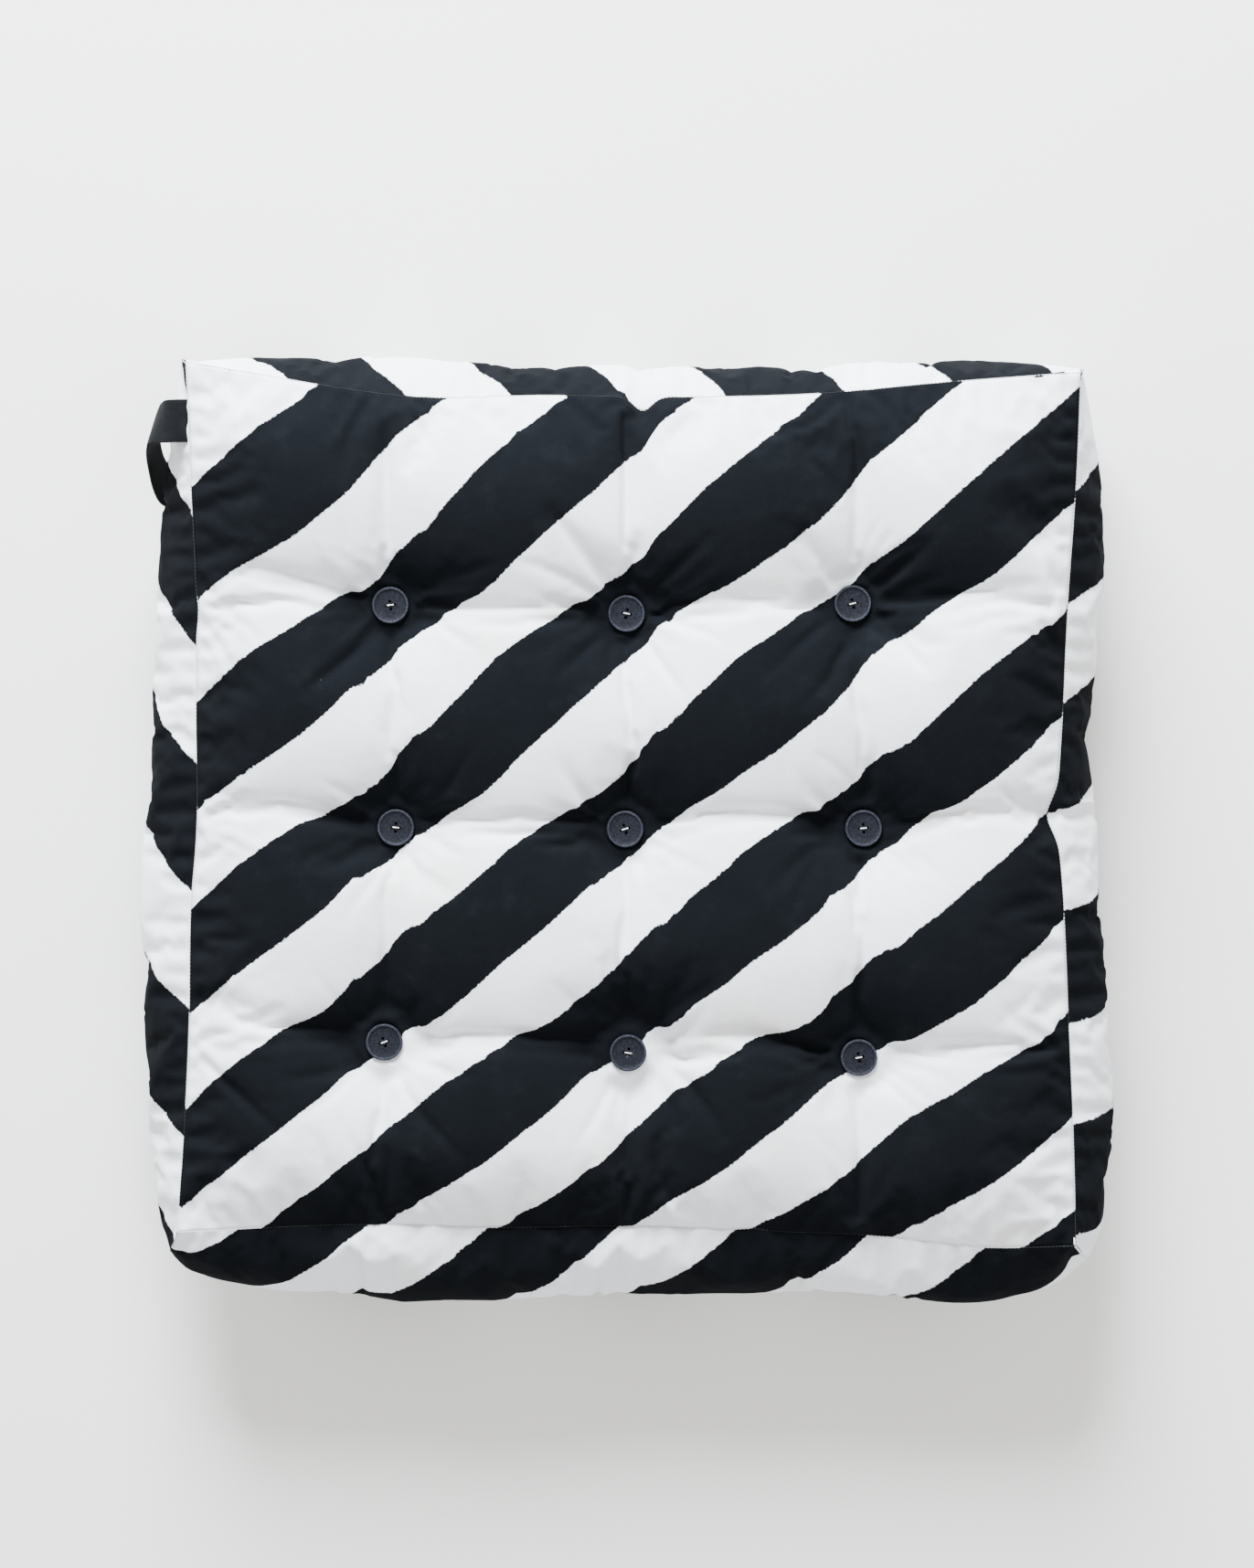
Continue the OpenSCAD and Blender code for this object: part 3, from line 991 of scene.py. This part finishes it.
# how far each button is turned, in degrees
TURN = [8, -12, 14, -6, 17, 5, 20, -9, 11]
shape = button_shape()
for i, (px, py) in zip(TUFTS, TUFT_XY):
    turn = math.radians(TURN[i - 1])
    twine = twine_loop(f"twine_{i}", twine_path())
    place = Matrix.Translation((px, py, 0)) @ Matrix.Rotation(turn, 4, "Z")
    twine.data.transform(place)
    finish_piece(twine, TWINE, [f"tufting_twine_{i}"])
    for face, seat_z, over in (("top", SEAT_Z, 0), ("bottom", FLOOR_Z + CROWN_Z - SEAT_Z, math.pi)):
        obj = bpy.data.objects.new(f"{face}_button_{i}_detail", shape.data.copy())
        bpy.context.scene.collection.objects.link(obj)
        seat = Matrix.Translation((px, py, seat_z)) @ Matrix.Rotation(turn, 4, "Z")
        obj.data.transform(seat @ Matrix.Rotation(over, 4, "X"))
        finish_piece(obj, BUTTON, [f"{face}_button_{i}"])
bpy.data.objects.remove(shape)


# ---------------------------------------------------------------- seam stitching

STITCH = 2.5 * MM
STITCH_R = 0.30 * MM


def read_at(place, run, values):
    """The vector found at one place along a line of vectors."""
    return np.array([np.interp(place, run, values[:, c]) for c in range(3)])


def stitches(name, ids, outward, nodes):
    """A row of small stitches lying along the cover's vertices."""
    line, stripe = cover.points[ids], STRIPES_AT[ids]
    run = np.concatenate([[0], np.cumsum(steps(line, 0))])
    count = int(run[-1] / STITCH)
    sides = 6
    profile = [(-0.36, 0.15), (-0.30, 0.8), (-0.12, 1.0), (0.12, 1.0), (0.30, 0.8), (0.36, 0.15)]
    points, faces, under = [], [], []
    for k in range(count):
        middle = (k + 0.5) * STITCH
        under += [(np.interp(middle, run, stripe), 0)] * (len(profile) * sides)
        out = read_at(middle, run, outward)
        ahead = read_at(middle + STITCH * 0.4, run, line) - read_at(middle - STITCH * 0.4, run, line)
        ahead /= max(np.linalg.norm(ahead), 1e-9)
        side = np.cross(ahead, out)
        side /= max(np.linalg.norm(side), 1e-9)
        first = len(points)
        for place, size in profile:
            c = read_at(middle + place * STITCH, run, line) + out * STITCH_R * 0.5
            for m in range(sides):
                a = 2 * math.pi * m / sides
                points.append(c + STITCH_R * size * (side * math.cos(a) + out * math.sin(a)))
        for ring in range(len(profile) - 1):
            a, b = first + ring * sides, first + (ring + 1) * sides
            for m in range(sides):
                q = (m + 1) % sides
                faces.append([a + m, a + q, b + q, b + m])
        faces.append([first + m for m in range(sides)][::-1])
        faces.append([first + (len(profile) - 1) * sides + m for m in range(sides)])
    obj = mesh_object(name, points, faces)
    fix_normals(obj)
    shade_smooth(obj)
    add_uv(obj, "stripes", np.array(under))
    return finish_piece(obj, SEAM_THREAD, nodes)


def facing(sides, up):
    """The outward directions of a seam's vertices."""
    level = np.array([np.sum([(*OUT[name], 0.0) for name in here], axis=0) for here in sides])
    out = level * 0.6 + (0, 0, up)
    return out / np.linalg.norm(out, axis=1)[:, None]


for name, row, up in (("top", 0, 0.8), ("bottom", -1, -0.8)):
    ids = np.append(cover.index_band[row], cover.index_band[row][0])
    sides = [(side,) for side in np.append(cover.sides, cover.sides[0])]
    stitches(f"{name}_seam_stitches", ids, facing(sides, up), [f"{name}_seam_stitching"])
N_S, N_T = cover.cells
CORNERS = {"back_left": 0, "back_right": N_S, "front_right": N_S + N_T, "front_left": 2 * N_S + N_T}
for name, column in CORNERS.items():
    ids = cover.index_band[:, column]
    out = facing([name.split("_")] * len(ids), 0)
    stitches(f"{name}_corner_stitches", ids, out, [f"{name}_corner_stitching"])


# ---------------------------------------------------------------- carry strap

strap_low, strap_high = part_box("strap_top_end")
STRAP_W = strap_high.y - strap_low.y
STRAP_Y = (strap_high.y + strap_low.y) / 2
STRAP_T = 2.0 * MM


def spline(points, count):
    """A smooth path through listed points."""
    p = np.array(points, float)
    at = np.linspace(0, len(p) - 1, count)
    return np.stack([curve(list(zip(range(len(p)), p[:, c])), at) for c in range(3)], -1)


# (out from the seam, along it, height) in mm: from the top seam down beside the band to the bottom seam
ROUTE = [(-10, 0, 108), (3, 0, 111.5), (13, -.5, 110), (20, -2, 103), (23.5, -8, 90), (24.5, -18, 73),
         (23, -31, 56), (18.5, -37, 42), (11, -26, 30), (3, -8, 23), (-10, 0, 25)]
# how far the strap is turned about its own run, in degrees, at shares of its length
STRAP_TURN = [(0, 0), (.14, 8), (.24, 22), (.38, 14), (.55, 5), (.75, 0), (1, 0)]


def ribbon(name, path, width_dir, width, thickness):
    """A flat strip along a path, with slightly rounded edges."""
    n, across = len(path), 12
    points, faces = [], []
    for k in range(n):
        ahead = path[min(k + 1, n - 1)] - path[max(k - 1, 0)]
        ahead /= np.linalg.norm(ahead)
        wide = width_dir[k] - ahead * np.dot(width_dir[k], ahead)
        wide /= np.linalg.norm(wide)
        normal = np.cross(wide, ahead)
        one_way = [m / across * 2 - 1 for m in range(across + 1)]
        for side, places in ((1, one_way), (-1, one_way[::-1])):
            for u in places:
                half = side * thickness / 2 * (1 - 0.35 * abs(u) ** 10)
                points.append(path[k] + wide * width / 2 * u + normal * half)
    size = 2 * (across + 1)
    for k in range(n - 1):
        for m in range(size):
            q = (m + 1) % size
            faces.append([k * size + m, k * size + q, (k + 1) * size + q, (k + 1) * size + m])
    faces.append(list(range(size))[::-1])
    faces.append([(n - 1) * size + m for m in range(size)])
    obj = mesh_object(name, points, faces)
    fix_normals(obj)
    return obj


route = spline([(-HALF_X - a * MM, STRAP_Y + b * MM, c * MM) for a, b, c in ROUTE], 90)
swing = np.radians(curve(STRAP_TURN, np.linspace(0, 1, len(route))))
lean = np.stack([np.sin(swing), np.cos(swing), np.zeros(len(route))], -1)
strap = ribbon("carry_strap", route, lean, STRAP_W, STRAP_T)
shade_smooth(strap)
strap.data.set_sharp_from_angle(angle=math.radians(50))
finish_piece(strap, STRAP_CLOTH, ["handle_strap", "strap_top_end", "strap_bottom_end"],
             body=None)
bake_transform(strap)

# ---------------------------------------------------------------- floor, light and camera


def floor():
    n = Nodes("pale_floor")
    place = n.add("ShaderNodeTexCoord").outputs["Object"]
    n.link(n.mix(n.noise(place, 3.0, 4.0), (0.84, 0.84, 0.83), (0.82, 0.82, 0.81)),
           n.shader.inputs["Base Color"])
    n.shader.inputs["Roughness"].default_value = 0.9
    corners = [(-6, -6, FLOOR_Z), (6, -6, FLOOR_Z), (6, 6, FLOOR_Z), (-6, 6, FLOOR_Z)]
    obj = mesh_object("floor", corners, [(0, 1, 2, 3)])
    obj.data.materials.append(n.material)


def area_light(name, place, aim, size, power, colour=(1, 1, 1)):
    light = bpy.data.lights.new(name, "AREA")
    light.shape = "DISK"
    light.size = size
    light.energy = power
    light.color = colour
    obj = bpy.data.objects.new(name, light)
    obj.location = place
    obj.rotation_euler = (Vector(aim) - Vector(place)).to_track_quat("-Z", "Y").to_euler()
    bpy.context.scene.collection.objects.link(obj)


floor()
area_light("key", (-0.5, 2.9, 1.55), (0, 0, 0.06), 1.9, 740, (0.94, 0.97, 1.0))
area_light("fill", (0.8, -1.4, 3.0), (0, 0, 0.06), 3.0, 40)
world = bpy.data.worlds.new("studio")
bpy.context.scene.world = world
world.use_nodes = True
world.node_tree.nodes["Background"].inputs[0].default_value = (1.0, 0.98, 0.95, 1)
world.node_tree.nodes["Background"].inputs[1].default_value = 1.17

CAMERA_HEIGHT = 2.5
VIEW_WIDTH = 0.8163  # what the picture's width takes in, at the height of the seams
camera = bpy.data.cameras.new("camera")
camera.sensor_fit = "HORIZONTAL"
camera.sensor_width = 36
camera.lens = camera.sensor_width * (CAMERA_HEIGHT - SEAM_Z) / VIEW_WIDTH
eye = bpy.data.objects.new("camera", camera)
eye.location = (-0.0012, 0.0149, CAMERA_HEIGHT)
bpy.context.scene.collection.objects.link(eye)
bpy.context.scene.camera = eye

bpy.context.view_layer.update()
